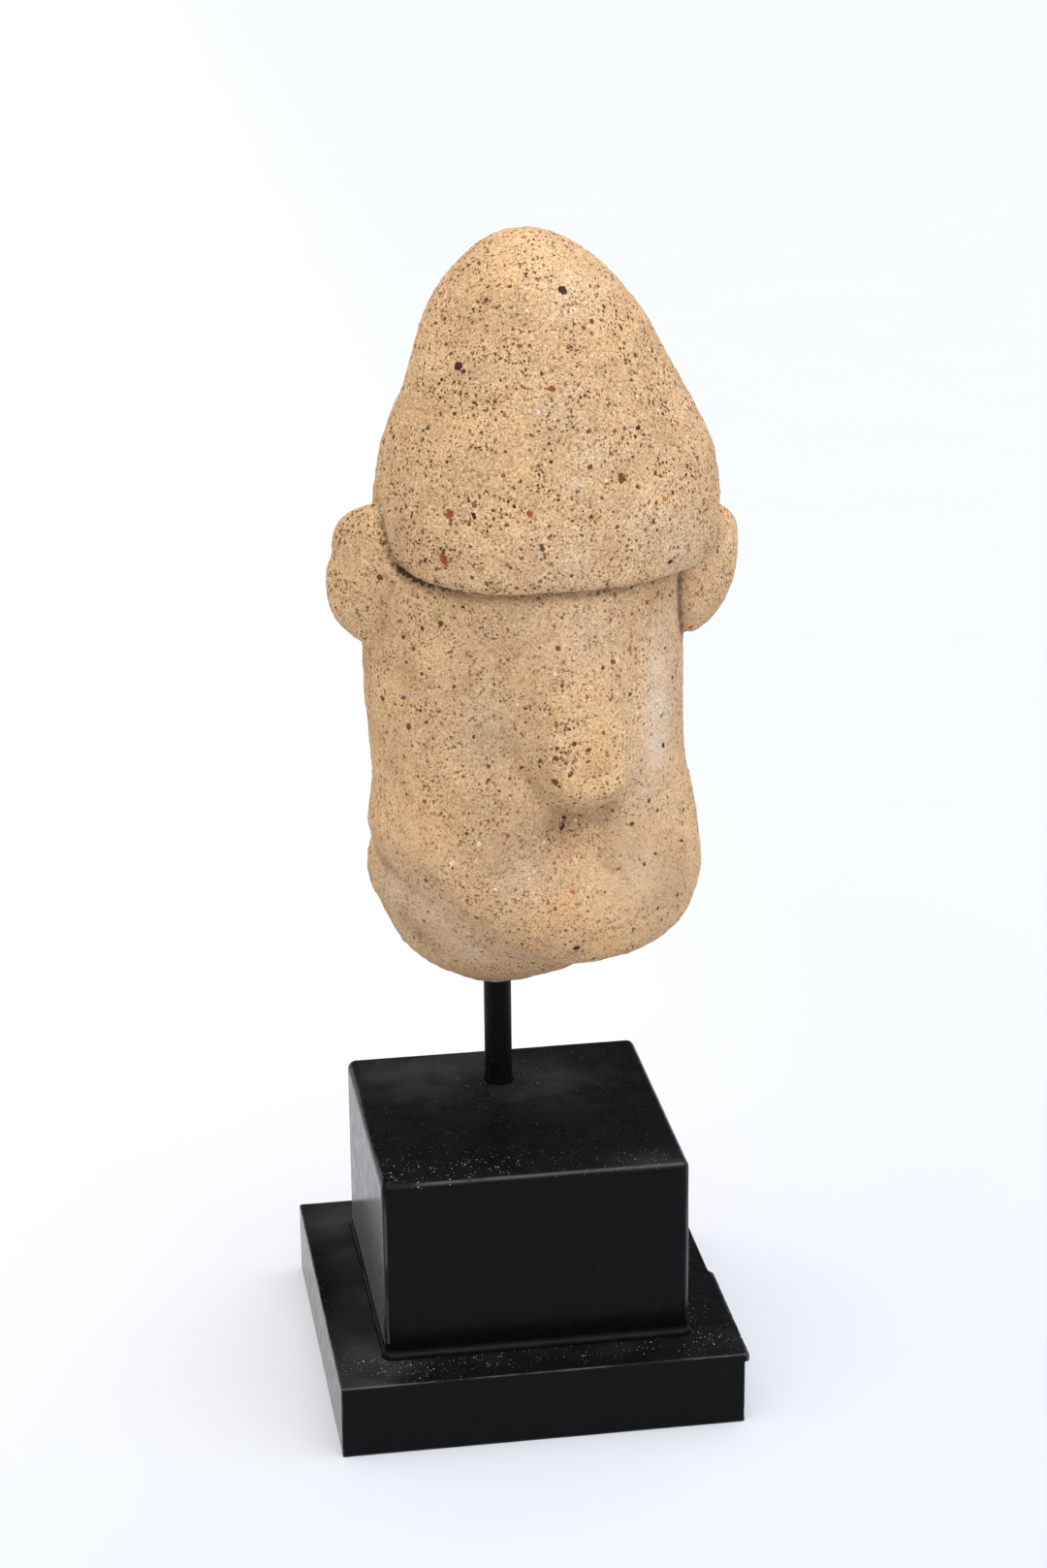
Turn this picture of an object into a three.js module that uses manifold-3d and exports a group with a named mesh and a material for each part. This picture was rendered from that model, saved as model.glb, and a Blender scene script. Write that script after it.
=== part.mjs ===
// Terracotta head with a pointed cap, standing on a steel rod in a stepped wooden base.
// Millimetres, +Z up. The origin is the middle of the base's underside, and the base's front faces -Y.
import * as THREE from "three";
import { ConvexGeometry } from "three/addons/geometries/ConvexGeometry.js";
import { mergeVertices, toCreasedNormals } from "three/addons/utils/BufferGeometryUtils.js";
import Module from "manifold-3d";

const wasm = await Module();
wasm.setup();

// Base: a low slab with a block on it. The slab's top sheet stands proud of its right side as a lip,
// which is broken away towards the back.
const slabWidth = 92;
const slabDepth = 92;
const slabHeight = 17;
const slabEdgeRadius = 0.5;
const slabLipThickness = 2;
const slabLipOverhang = 1;
const slabLipRoot = 2;
const slabLipLength = 40;
const blockWidth = 69;
const blockDepth = 69;
const blockHeight = 43;
const blockEdgeRadius = 2;
const edgeSteps = 4;

// Rod: a steel pin that stands behind the middle of the block and carries the head.
const rodDiameter = 6.35;
const rodOffsetX = -0.8;
const rodOffsetY = 16.6;
const rodVisibleLength = 26.9;
const rodDepthInBlock = 25;
const rodDepthInHead = 48;
const rodFacets = 32;
const socketClearance = 0.3;

// Head: its height, and how far it turns to its own left over the base.
const headHeight = 175.6;
const headTurnDegrees = 13;

const socketRadius = rodDiameter / 2 + socketClearance;
const blockTop = slabHeight + blockHeight;
const rodBottom = blockTop - rodDepthInBlock;
const headBottom = blockTop + rodVisibleLength;
const rodTop = headBottom + rodDepthInHead;

// Everything about the head's form below is in hundredths of its height, measured across to its own
// left, back and up from the underside of the neck.
const hundredth = headHeight / 100;
const rodAcross = -3.3;
const rodBack = 9.3;

// Each row is one level of a form: height, half width, front depth, back depth, the middle's shift
// across and back, and the outline's squareness (2 is an ellipse). The first and last rows are points.
const faceRows = [
  [8.9, 0, 0, 0, 1, -3.5, 2],
  [9.1, 7, 7, 8, 1, -3.2, 2.1],
  [9.9, 11.6, 11, 11, 1, -2.6, 2.1],
  [11.4, 14.8, 13.8, 14, 1.2, -1.8, 2.1],
  [14, 17.3, 15.8, 17, 1.1, -0.6, 2.2],
  [18.5, 19.8, 17.2, 18.6, 0.1, 0.7, 2.3],
  [23.5, 20.7, 17.4, 18.4, -1, 1.6, 2.4],
  [27.5, 20.4, 17.3, 17.8, -1, 2.1, 2.35],
  [29.4, 20.1, 17.2, 17.4, -1, 2.4, 2.35],
  [31, 19.9, 17.1, 17.2, -1.1, 2.6, 2.3],
  [33, 19.9, 17, 17, -1.2, 2.9, 2.3],
  [37, 20, 17.1, 16.7, -1.3, 3.3, 2.3],
  [41.5, 20.2, 17.3, 16.5, -1.4, 3.6, 2.25],
  [47, 20.3, 17.5, 16.4, -1.4, 3.8, 2.2],
  [53, 20.3, 17.6, 16.4, -1.3, 3.8, 2.2],
  [59, 20, 17.6, 16.2, -1, 3.6, 2.2],
  [63, 18.6, 16.6, 15, -0.6, 3, 2.2],
  [66, 14, 12, 13, 0, 2, 2.2],
  [67, 0, 0, 0, 0, 1, 2],
];

const neckRows = [
  [0, 0, 0, 0, -2.8, 9, 2],
  [0.3, 3.2, 3.2, 3.2, -2.8, 9, 2],
  [1.2, 6.2, 6, 6, -2.8, 9, 2],
  [3, 9.4, 9, 8, -2.8, 9, 2],
  [5, 12, 13, 9.4, -2.8, 9, 2],
  [7.2, 13.8, 15.6, 10, -2.8, 9, 2.1],
  [9.4, 15.1, 17.6, 10, -2.6, 9, 2.2],
  [12, 16.5, 19.4, 10, -2.3, 9, 2.4],
  [15, 18.2, 21.2, 9.2, -2, 9, 2.5],
  [19, 18.9, 22.2, 8.4, -1.6, 9, 2.5],
  [23, 18, 21.6, 7.4, -1.2, 8.6, 2.4],
  [28, 12, 14, 7, -0.6, 8, 2.3],
  [29, 0, 0, 0, 0, 6, 2],
];

const capRows = [
  [62, 0, 0, 0, 0, 0, 2],
  [61.2, 14, 13, 15, 0, 0, 2],
  [59.8, 17.8, 14.4, 18.8, 0.6, 0, 2.1],
  [59.2, 19.5, 16.2, 20.4, 0.8, 0, 2.1],
  [59.9, 20.7, 17, 21.4, 0.8, 0, 2.1],
  [62, 21.3, 17.5, 21.9, 0.9, 0, 2.1],
  [65.8, 21.6, 17.7, 21.9, 0.9, 0, 2.1],
  [69.8, 21.2, 17.5, 21.2, 1, 0.3, 2.1],
  [73.3, 20.5, 17, 20.2, 1, 0.6, 2.1],
  [77, 19.2, 16.2, 18.6, 0.8, 0.9, 2],
  [80.6, 17.5, 15.3, 17, 0.6, 1.2, 1.9],
  [84.4, 15.9, 14.2, 15.5, 0.3, 1.6, 1.9],
  [88.3, 14.2, 13, 14, 0, 2, 1.9],
  [91.7, 12.2, 11.3, 11.8, -0.3, 2.4, 1.95],
  [94.5, 9.8, 9.1, 9.2, -0.5, 2.7, 2.1],
  [97, 7.2, 6.7, 6.8, -0.6, 3, 2],
  [99, 4, 3.8, 3.8, -0.7, 3.2, 2],
  [100, 0, 0, 0, -0.7, 3.4, 2],
];

// The nose is a wedge that rises and narrows towards its tip. It falls softly to its own right. On its
// left the cheek falls straight back from its edge, to an outline angle, and runs out between two heights.
// The cheek takes over from the tip between two more outline angles.
const nose = {
  top: 61,
  tip: 32.4,
  topHalfWidth: 5.8,
  tipHalfWidth: 5.4,
  topRise: 1.4,
  tipRise: 5.4,
  middle: -1.7,
  softness: 8,
  tipReach: [-3, 1.8],
  leftRounding: 1.5,
  rightRounding: 5,
  edgeDrop: 0.14,
};
const cheek = { end: 74, fall: 1.7, low: 13, high: 42, blend: [8, 31] };

// Where the face is pressed in, each with its middle, spread and depth. The chin stands out instead.
const facePresses = [
  { across: -3.6, wide: 4.5, height: 28.2, tall: 2.8, depth: 1.3 },
  { across: -9, wide: 4.5, height: 25.8, tall: 3, depth: 0.9 },
  { across: -12.5, wide: 4, height: 42, tall: 13, depth: 0.5 },
  { across: -0.5, wide: 12, height: 17.5, tall: 6, depth: -1 },
];

// A flat pressed on the cap: the way it faces, how far in from the cap's outermost point that way it
// lies, and how much of what stands outside it is pressed away.
const capFlat = { facing: new THREE.Vector3(-0.75, -0.45, 0.45).normalize(), inset: 1, share: 0.8 };

// The ears, each given as for the head's left side, with angles in degrees.
const earBend = 0.008;
const leftEar = {
  outward: 7.3,
  thickness: 2.9,
  tall: 8.8,
  out: 19.8,
  set: -3.3,
  up: 56.4,
  sweep: 30,
  slant: 41,
  swells: [],
};
const rightEar = {
  outward: 11.2,
  thickness: 3.4,
  tall: 9.4,
  out: 17.6,
  set: 0.6,
  up: 57.6,
  sweep: 40,
  slant: -2,
  swells: [
    { at: -38, spread: 28, by: 0.08 },
    { at: 16, spread: 9, by: -0.04 },
    { at: 46, spread: 20, by: 0.13 },
    { at: 76, spread: 15, by: 0.1 },
  ],
};

// Outline angles from the front in degrees. The face's lie closest together along the nose's edges.
const noseEdge = 20;
const halfTurn = [7, 13, 17, noseEdge, 23, 26.5, 31, 38, 47, 58, 69, 80, 92, 106, 122, 140, 160];
const faceAngles = [0, ...halfTurn, 180, ...halfTurn.map((angle) => 360 - angle).reverse()];
const evenAngles = (count) => Array.from({ length: count }, (_, i) => (i / count) * 360);
const capAngles = evenAngles(44);

const { clamp, degToRad, lerp, radToDeg, smoothstep } = THREE.MathUtils;
const bump = (value, middle, spread) => Math.exp(-(((value - middle) / spread) ** 2));

// A closed mesh as a solid, for joining and cutting.
function solid(geometry) {
  const bare = geometry.clone();
  bare.deleteAttribute("normal");
  bare.deleteAttribute("uv");
  const merged = mergeVertices(bare, 1e-4);
  return new wasm.Manifold(
    new wasm.Mesh({
      numProp: 3,
      vertProperties: new Float32Array(merged.attributes.position.array),
      triVerts: new Uint32Array(merged.index.array),
    }),
  );
}

// A solid as a named mesh.
function meshOf(name, shape, material) {
  const made = shape.getMesh();
  const position = new Float32Array(made.numVert * 3);
  for (let i = 0; i < made.numVert; i++) {
    const start = i * made.numProp;
    position.set(made.vertProperties.subarray(start, start + 3), i * 3);
  }
  const geometry = new THREE.BufferGeometry();
  geometry.setAttribute("position", new THREE.BufferAttribute(position, 3));
  geometry.setIndex(new THREE.BufferAttribute(new Uint32Array(made.triVerts), 1));
  const mesh = new THREE.Mesh(toCreasedNormals(geometry, 0.6), material);
  mesh.name = name;
  return mesh;
}

// The point of a row's outline at an angle from the front.
function outlinePoint([z, width, front, back, shift, set, square], degrees) {
  const side = Math.sin(degToRad(degrees));
  const ahead = Math.cos(degToRad(degrees));
  const power = 2 / square;
  return new THREE.Vector3(
    shift + width * Math.sign(side) * Math.abs(side) ** power,
    set - (ahead > 0 ? front : back) * Math.sign(ahead) * Math.abs(ahead) ** power,
    z,
  );
}

// A form lofted through its rows. The steer function gives the angle to use at a level, and the carve
// function moves the finished point.
function loft(rows, rings, angles, { steer = (angle) => angle, carve = (point) => point } = {}) {
  const columns = rows[0].map(
    (_, column) => new THREE.SplineCurve(rows.map((row, i) => new THREE.Vector2(i, row[column]))),
  );
  const points = [];
  for (let ring = 1; ring < rings; ring++) {
    const level = columns.map((curve) => curve.getPoint(ring / rings).y);
    for (const angle of angles) points.push(carve(outlinePoint(level, steer(angle, level)), angle));
  }
  const bottomPole = points.length;
  const topPole = bottomPole + 1;
  for (const [z, , , , shift, set] of [rows[0], rows[rows.length - 1]]) {
    points.push(new THREE.Vector3(shift, set, z));
  }
  const at = (ring, i) => (ring - 1) * angles.length + (i % angles.length);
  const apart = (one, other) => points[one].distanceTo(points[other]);
  const index = [];
  for (let i = 0; i < angles.length; i++) {
    index.push(bottomPole, at(1, i + 1), at(1, i));
    for (let ring = 1; ring < rings - 1; ring++) {
      const [a, b, c, d] = [at(ring, i), at(ring, i + 1), at(ring + 1, i + 1), at(ring + 1, i)];
      if (apart(a, c) < apart(b, d)) index.push(a, b, c, a, c, d);
      else index.push(a, b, d, b, c, d);
    }
    index.push(at(rings - 1, i), at(rings - 1, i + 1), topPole);
  }
  const geometry = new THREE.BufferGeometry().setFromPoints(points);
  geometry.setIndex(index);
  return solid(geometry.scale(hundredth, hundredth, hundredth));
}

// How far down the nose a height is, from 0 at its top to 1 at its tip.
const downNose = (height) => clamp((nose.top - height) / (nose.top - nose.tip), 0, 1);

// Which side of the face an outline angle is on, and how far round from the front.
const sideOf = (angle) => (angle > 180 ? -1 : 1);
const turnOf = (angle) => (angle > 180 ? 360 - angle : angle);

// Turns an outline angle so that the same one follows the edge of the nose at every height.
function steerFace(angle, [height, width, , , shift, , square]) {
  const side = sideOf(angle);
  const turn = turnOf(angle);
  if (turn >= 90) return angle;
  const halfWidth = lerp(nose.topHalfWidth, nose.tipHalfWidth, downNose(height));
  const reach = clamp((halfWidth + side * (nose.middle - shift)) / width, 0.05, 0.95);
  const edge = radToDeg(Math.asin(reach ** (square / 2)));
  const outside = (turn - noseEdge) / (90 - noseEdge);
  const steered = turn < noseEdge ? (turn / noseEdge) * edge : edge + outside * (90 - edge);
  return side > 0 ? steered : 360 - steered;
}

// How far the nose, with the plane of the left cheek, stands out at an outline angle and height.
function noseRise(angle, height) {
  const turn = turnOf(angle);
  const onLeft = sideOf(angle) > 0;
  const past = clamp((turn - noseEdge) / (cheek.end - noseEdge), 0, 1);
  const plane = (1 - past) ** cheek.fall * (1 - nose.edgeDrop * smoothstep(turn, noseEdge - 3, noseEdge + 4));
  const soft = 1 - smoothstep(turn, noseEdge - nose.softness, noseEdge + 1.4 * nose.softness);
  const rounding = (Math.min(turn, noseEdge + (onLeft ? 4 : 10)) / noseEdge) ** 2;
  const lifted = height - (onLeft ? nose.leftRounding : nose.rightRounding) * rounding;
  const [below, above] = nose.tipReach;
  const ledge = smoothstep(lifted, nose.tip + below, nose.tip + above);
  const slope = smoothstep(height, cheek.low, cheek.high);
  const tip = lerp(ledge, slope, onLeft ? smoothstep(turn, ...cheek.blend) : 0);
  const rise = lerp(nose.topRise, nose.tipRise, downNose(height) ** 1.15);
  return rise * (onLeft ? plane : soft) * tip * (1 - 0.12 * Math.min(rounding, 1.44));
}

function carveFace(point, angle) {
  const front = 1 - smoothstep(turnOf(angle), 50, 95);
  const pressed = facePresses.reduce(
    (sum, { across, wide, height, tall, depth }) =>
      sum + depth * bump(point.x, across, wide) * bump(point.z, height, tall),
    0,
  );
  point.y += front * pressed - noseRise(angle, point.z);
  return point;
}

// How far the cap reaches the way its flat faces.
const capReach = Math.max(
  ...capRows.flatMap((row) => capAngles.map((angle) => outlinePoint(row, angle).dot(capFlat.facing))),
);

function carveCap(point) {
  const excess = Math.max(0, point.dot(capFlat.facing) - capReach + capFlat.inset);
  return point.addScaledVector(capFlat.facing, -capFlat.share * excess);
}

// An ear is a flap swept back from the side of the face. Its outline swells or is nicked at an angle,
// and its blade bends back towards the rim.
function earForm({ outward, thickness, tall, out, set, up, sweep, slant, swells }) {
  const geometry = new THREE.SphereGeometry(1, 22, 12);
  const position = geometry.attributes.position;
  const point = new THREE.Vector3();
  for (let i = 0; i < position.count; i++) {
    point.fromBufferAttribute(position, i);
    const around = radToDeg(Math.atan2(point.z, point.x));
    const swell = swells.reduce((sum, { at, spread, by }) => sum + by * bump(around, at, spread), 1);
    point.set(point.x * swell * outward, point.y * thickness, point.z * swell * tall);
    point.y += earBend * point.x * Math.abs(point.x);
    position.setXYZ(i, point.x, point.y, point.z);
  }
  geometry.rotateY(degToRad(slant));
  geometry.rotateZ(degToRad(sweep));
  geometry.translate(out, set, up);
  return solid(geometry.scale(hundredth, hundredth, hundredth));
}

// A round form on the rod's line, between two heights.
function roundForm(radius, bottom, top) {
  return solid(
    new THREE.CylinderGeometry(radius, radius, top - bottom, rodFacets)
      .rotateX(Math.PI / 2)
      .translate(rodOffsetX, rodOffsetY, (bottom + top) / 2),
  );
}

// The head stands so that its own rod hole is on the rod's line.
function headPlace() {
  const turn = new THREE.Matrix4().makeRotationZ(degToRad(headTurnDegrees));
  const hole = new THREE.Vector3(rodAcross, rodBack, 0).multiplyScalar(hundredth).applyMatrix4(turn);
  return turn.setPosition(rodOffsetX - hole.x, rodOffsetY - hole.y, headBottom);
}

function headMesh() {
  const shape = loft(faceRows, 50, faceAngles, { steer: steerFace, carve: carveFace })
    .add(loft(neckRows, 22, evenAngles(36)))
    .add(loft(capRows, 38, capAngles, { carve: carveCap }))
    .add(earForm(leftEar))
    .add(earForm(rightEar).mirror([1, 0, 0]))
    .transform(headPlace().elements)
    .subtract(roundForm(socketRadius, blockTop, rodTop));
  const clay = new THREE.MeshStandardMaterial({ color: 0xc9a67c, roughness: 0.95, metalness: 0 });
  return meshOf("terracotta_head", shape, clay);
}

// A box standing at the given height, with its upright and upper edges rounded.
function roundedBox(width, depth, height, bottom, radius) {
  const quarter = (step) => ((step / edgeSteps) * Math.PI) / 2;
  const points = [];
  for (const [sideX, sideY] of [[1, 1], [-1, 1], [-1, -1], [1, -1]]) {
    for (let i = 0; i <= edgeSteps; i++) {
      for (let j = 0; j <= edgeSteps; j++) {
        const flat = radius * Math.cos(quarter(j));
        const x = sideX * (width / 2 - radius + flat * Math.cos(quarter(i)));
        const y = sideY * (depth / 2 - radius + flat * Math.sin(quarter(i)));
        points.push(new THREE.Vector3(x, y, bottom + height - radius + radius * Math.sin(quarter(j))));
        if (j === 0) points.push(new THREE.Vector3(x, y, bottom));
      }
    }
  }
  return new ConvexGeometry(points);
}

const blackPaint = () => new THREE.MeshStandardMaterial({ color: 0x0c0c0d, roughness: 0.35, metalness: 0 });

function slabMesh() {
  const body = roundedBox(slabWidth - slabLipOverhang, slabDepth, slabHeight, 0, slabEdgeRadius);
  body.translate(-slabLipOverhang / 2, 0, 0);
  const lipWidth = slabLipOverhang + slabLipRoot;
  const lipBottom = slabHeight - slabLipThickness;
  const lip = roundedBox(lipWidth, slabLipLength, slabLipThickness, lipBottom, slabEdgeRadius);
  lip.translate((slabWidth - lipWidth) / 2, (slabLipLength - slabDepth) / 2, 0);
  return meshOf("base_slab", solid(body).add(solid(lip)), blackPaint());
}

function blockMesh() {
  const body = roundedBox(blockWidth, blockDepth, blockHeight, slabHeight, blockEdgeRadius);
  const shape = solid(body).subtract(roundForm(socketRadius, rodBottom, headBottom));
  return meshOf("base_block", shape, blackPaint());
}

function rodMesh() {
  const blackSteel = new THREE.MeshStandardMaterial({ color: 0x101011, roughness: 0.45, metalness: 0.2 });
  return meshOf("mount_rod", roundForm(rodDiameter / 2, rodBottom, rodTop), blackSteel);
}

const sculpture = new THREE.Group();
sculpture.add(slabMesh(), blockMesh(), rodMesh(), headMesh());

export default sculpture;
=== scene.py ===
"""Looks of the terracotta head with a pointed cap, on its rod and its stepped black base."""
import math

import bmesh
import bpy
import numpy as np
from mathutils import Matrix, Vector
from mathutils.bvhtree import BVHTree


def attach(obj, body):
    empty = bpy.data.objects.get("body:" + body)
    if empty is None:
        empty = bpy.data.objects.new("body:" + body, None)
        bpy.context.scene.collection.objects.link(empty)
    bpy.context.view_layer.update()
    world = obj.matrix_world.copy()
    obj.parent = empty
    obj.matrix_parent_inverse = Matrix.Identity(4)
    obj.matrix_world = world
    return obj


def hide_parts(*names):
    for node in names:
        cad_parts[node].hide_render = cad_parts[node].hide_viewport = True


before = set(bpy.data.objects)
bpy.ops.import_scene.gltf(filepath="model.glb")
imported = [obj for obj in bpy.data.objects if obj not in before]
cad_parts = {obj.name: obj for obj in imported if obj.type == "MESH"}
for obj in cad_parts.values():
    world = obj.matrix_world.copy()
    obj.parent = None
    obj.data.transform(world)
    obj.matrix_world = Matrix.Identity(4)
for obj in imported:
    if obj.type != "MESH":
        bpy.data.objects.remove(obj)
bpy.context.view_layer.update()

MM = 0.001  # the scene is in metres, and the shapes below are in millimetres
IMAGE_WIDTH, IMAGE_HEIGHT = 1080, 1617

# The camera: its place in metres, its angles in radians and its focal length in pixels.
CAMERA_PLACE = Vector((-0.11243, -0.74591, 0.41414))
CAMERA_YAW, CAMERA_PITCH, CAMERA_ROLL = 0.1539, 0.3495, -0.0111
CAMERA_FOCAL = 3728.19
SENSOR = 36.0

# Sizes of the base and the rod, as in the solids.
SLAB = dict(width=92.0, depth=92.0, height=17.0, edge=0.5)
LIP = dict(thickness=2.0, overhang=1.0, back=-6.0)
BLOCK = dict(width=69.0, depth=69.0, height=43.0, edge=2.0)
ROD = dict(radius=3.175, x=-0.8, y=16.6, clearance=0.3, in_block=25.0, in_head=48.0)
HEAD_BOTTOM = 86.9

# The head's own frame: across to its left, back and up, in hundredths of its height.
HEAD_HEIGHT = 175.6
HEAD_TURN = math.radians(13)
HUNDREDTH = HEAD_HEIGHT / 100
ROD_IN_HEAD = (-3.3, 9.3)

# Rows of the forms: height, half width, front depth, back depth, shift across, shift back, squareness.
FACE_ROWS = [
    (8.9, 0, 0, 0, 1, -3.5, 2),
    (9.1, 7, 7, 8, 1, -3.2, 2.1),
    (9.9, 11.6, 11, 11, 1, -2.6, 2.1),
    (11.4, 14.8, 13.8, 14, 1.2, -1.8, 2.1),
    (14, 17.3, 15.8, 17, 1.1, -0.6, 2.2),
    (18.5, 19.8, 17.2, 18.6, 0.1, 0.7, 2.3),
    (23.5, 20.7, 17.4, 18.4, -1, 1.6, 2.4),
    (27.5, 20.4, 17.3, 17.8, -1, 2.1, 2.35),
    (29.4, 20.1, 17.2, 17.4, -1, 2.4, 2.35),
    (31, 19.9, 17.1, 17.2, -1.1, 2.6, 2.3),
    (33, 19.9, 17, 17, -1.2, 2.9, 2.3),
    (37, 20, 17.1, 16.7, -1.3, 3.3, 2.3),
    (41.5, 20.2, 17.3, 16.5, -1.4, 3.6, 2.25),
    (47, 20.3, 17.5, 16.4, -1.4, 3.8, 2.2),
    (53, 20.3, 17.6, 16.4, -1.3, 3.8, 2.2),
    (59, 20, 17.6, 16.2, -1, 3.6, 2.2),
    (63, 18.6, 16.6, 15, -0.6, 3, 2.2),
    (66, 14, 12, 13, 0, 2, 2.2),
    (67, 0, 0, 0, 0, 1, 2),
]
NECK_ROWS = [
    (0, 0, 0, 0, -2.8, 9, 2),
    (0.3, 3.2, 3.2, 3.2, -2.8, 9, 2),
    (1.2, 6.2, 6, 6, -2.8, 9, 2),
    (3, 9.4, 9, 8, -2.8, 9, 2),
    (5, 12, 13, 9.4, -2.8, 9, 2),
    (7.2, 13.8, 15.6, 10, -2.8, 9, 2.1),
    (9.4, 15.1, 17.6, 10, -2.6, 9, 2.2),
    (12, 16.5, 19.4, 10, -2.3, 9, 2.4),
    (15, 18.2, 21.2, 9.2, -2, 9, 2.5),
    (19, 18.9, 22.2, 8.4, -1.6, 9, 2.5),
    (23, 18, 21.6, 7.4, -1.2, 8.6, 2.4),
    (28, 12, 14, 7, -0.6, 8, 2.3),
    (29, 0, 0, 0, 0, 6, 2),
]
CAP_ROWS = [
    (62, 0, 0, 0, 0, 0, 2),
    (61.2, 14, 13, 15, 0, 0, 2),
    (59.8, 17.8, 14.4, 18.8, 0.6, 0, 2.1),
    (59.2, 19.5, 16.2, 20.4, 0.8, 0, 2.1),
    (59.9, 20.7, 17, 21.4, 0.8, 0, 2.1),
    (62, 21.3, 17.5, 21.9, 0.9, 0, 2.1),
    (65.8, 21.6, 17.7, 21.9, 0.9, 0, 2.1),
    (69.8, 21.2, 17.5, 21.2, 1, 0.3, 2.1),
    (73.3, 20.5, 17, 20.2, 1, 0.6, 2.1),
    (77, 19.2, 16.2, 18.6, 0.8, 0.9, 2),
    (80.6, 17.5, 15.3, 17, 0.6, 1.2, 1.9),
    (84.4, 15.9, 14.2, 15.5, 0.3, 1.6, 1.9),
    (88.3, 14.2, 13, 14, 0, 2, 1.9),
    (91.7, 12.2, 11.3, 11.8, -0.3, 2.4, 1.95),
    (94.5, 9.8, 9.1, 9.2, -0.5, 2.7, 2.1),
    (97, 7.2, 6.7, 6.8, -0.6, 3, 2),
    (99, 4, 3.8, 3.8, -0.7, 3.2, 2),
    (100, 0, 0, 0, -0.7, 3.4, 2),
]
NOSE = dict(top=61, tip=32.4, top_half=5.8, tip_half=5.4, top_rise=1.4, tip_rise=5.4, middle=-1.7, softness=8,
            reach=(-3.0, 1.8), left_rounding=1.5, right_rounding=5, edge_drop=0.14)
NOSE_EDGE = 20
# The left cheek falls straight back from the nose, to an outline angle, and runs out between two heights.
# Between the blend angles the ledge under the nose turns into that slope.
CHEEK = dict(end=74, fall=1.7, low=13, high=42, blend=(8, 31))
# Where the face is pressed in: across and its spread, up and its spread, depth. The chin stands out.
FACE_PRESSES = [
    (-3.6, 4.5, 28.2, 2.8, 1.3),
    (-9, 4.5, 25.8, 3, 0.9),
    (-12.5, 4, 42, 13, 0.5),
    (-0.5, 12, 17.5, 6, -1),
]
# The jaw's crease: its lowest height, how fast it climbs to the right, and how far the jaw lies behind it.
JAW = dict(low=10.2, climb=0.0357, step=1.2)
CAP_SIDES = 44  # the sides of the cap's solid
CAP_FLAT = dict(facing=np.array((-0.75, -0.45, 0.45)), inset=1.0, share=0.8)
LEFT_EAR = dict(outward=7.3, thickness=2.9, tall=8.8, out=19.8, back=-3.3, up=56.4, sweep=30, slant=41,
                swells=())
RIGHT_EAR = dict(outward=11.2, thickness=3.4, tall=9.4, out=17.6, back=0.6, up=57.6, sweep=40, slant=-2,
                 swells=((-38, 28, 0.08), (16, 9, -0.04), (46, 20, 0.13), (76, 15, 0.1)))
EAR_BEND = 0.008

VOXEL = 0.76  # the mesh size of the fine head
SEAM_REACH = 5.0  # how far from a crevice its distance is kept


# Numbers and noise

def bump(value, middle, spread):
    return np.exp(-(((value - middle) / spread) ** 2))


def smoothstep(value, low, high):
    t = np.clip((value - low) / (high - low), 0, 1)
    return t * t * (3 - 2 * t)


def lerp(low, high, share):
    return low + (high - low) * share


def hashed(cell, seed):
    """A number from 0 to 1 for each whole cell."""
    c = cell.astype(np.int64).astype(np.uint32)
    h = c[..., 0] * np.uint32(374761393) + c[..., 1] * np.uint32(668265263)
    h = h + c[..., 2] * np.uint32(2246822519) + np.uint32(seed * 3266489917 & 0xFFFFFFFF)
    for shift, factor in ((15, 2246822519), (13, 3266489917)):
        h = (h ^ (h >> np.uint32(shift))) * np.uint32(factor)
    return (h ^ (h >> np.uint32(16))).astype(float) / 2**32


def wavy(points, size, seed):
    """Smooth noise from about -1 to 1, with features of the given size in millimetres."""
    p = points / size
    cell = np.floor(p)
    part = p - cell
    ease = part**3 * (part * (part * 6 - 15) + 10)
    total = 0
    for corner in np.ndindex(2, 2, 2):
        at = cell + corner
        gradient = np.stack([hashed(at, seed + k) * 2 - 1 for k in range(3)], -1)
        weight = np.prod(np.where(corner, ease, 1 - ease), -1)
        total = total + weight * np.sum(gradient * (part - corner), -1)
    return total * 1.6


def pitted(points, size, seed):
    """Distance in millimetres to the nearest of scattered points, and a random number for that point."""
    p = points / size
    cell = np.floor(p)
    best = np.full(len(points), 9.0)
    mark = np.zeros(len(points))
    for step in np.ndindex(3, 3, 3):
        at = cell + np.array(step) - 1
        seat = at + np.stack([hashed(at, seed + k) for k in range(3)], -1)
        apart = np.linalg.norm(seat - p, axis=-1)
        nearer = apart < best
        best = np.where(nearer, apart, best)
        mark = np.where(nearer, hashed(at, seed + 3), mark)
    return best * size, mark


# Meshes

def mesh_piece(name, points, faces):
    """A mesh object from points in millimetres."""
    mesh = bpy.data.meshes.new(name)
    mesh.from_pydata((np.asarray(points) * MM).tolist(), [], [list(f) for f in faces])
    mesh.update()
    mesh.shade_smooth()
    piece = bpy.data.objects.new(name, mesh)
    bpy.context.scene.collection.objects.link(piece)
    return piece


def read(rows, field, width, kind=np.float32):
    """The numbers of a field of a mesh's rows, that many to a row."""
    values = np.empty(len(rows) * width, kind)
    rows.foreach_get(field, values)
    return values.reshape(-1, width)


def points_of(piece):
    return read(piece.data.vertices, "co", 3).astype(float) / MM


def normals_of(piece):
    return read(piece.data.vertex_normals, "vector", 3).astype(float)


def move_points(piece, points):
    piece.data.vertices.foreach_set("co", (points * MM).astype(np.float32).ravel())
    piece.data.update()


def keep(piece, name, values, kind="FLOAT", field="value"):
    """Keeps a number, or a vector, for each point of a mesh."""
    attribute = piece.data.attributes.new(name, kind, "POINT")
    attribute.data.foreach_set(field, np.asarray(values, np.float32).ravel())


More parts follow.
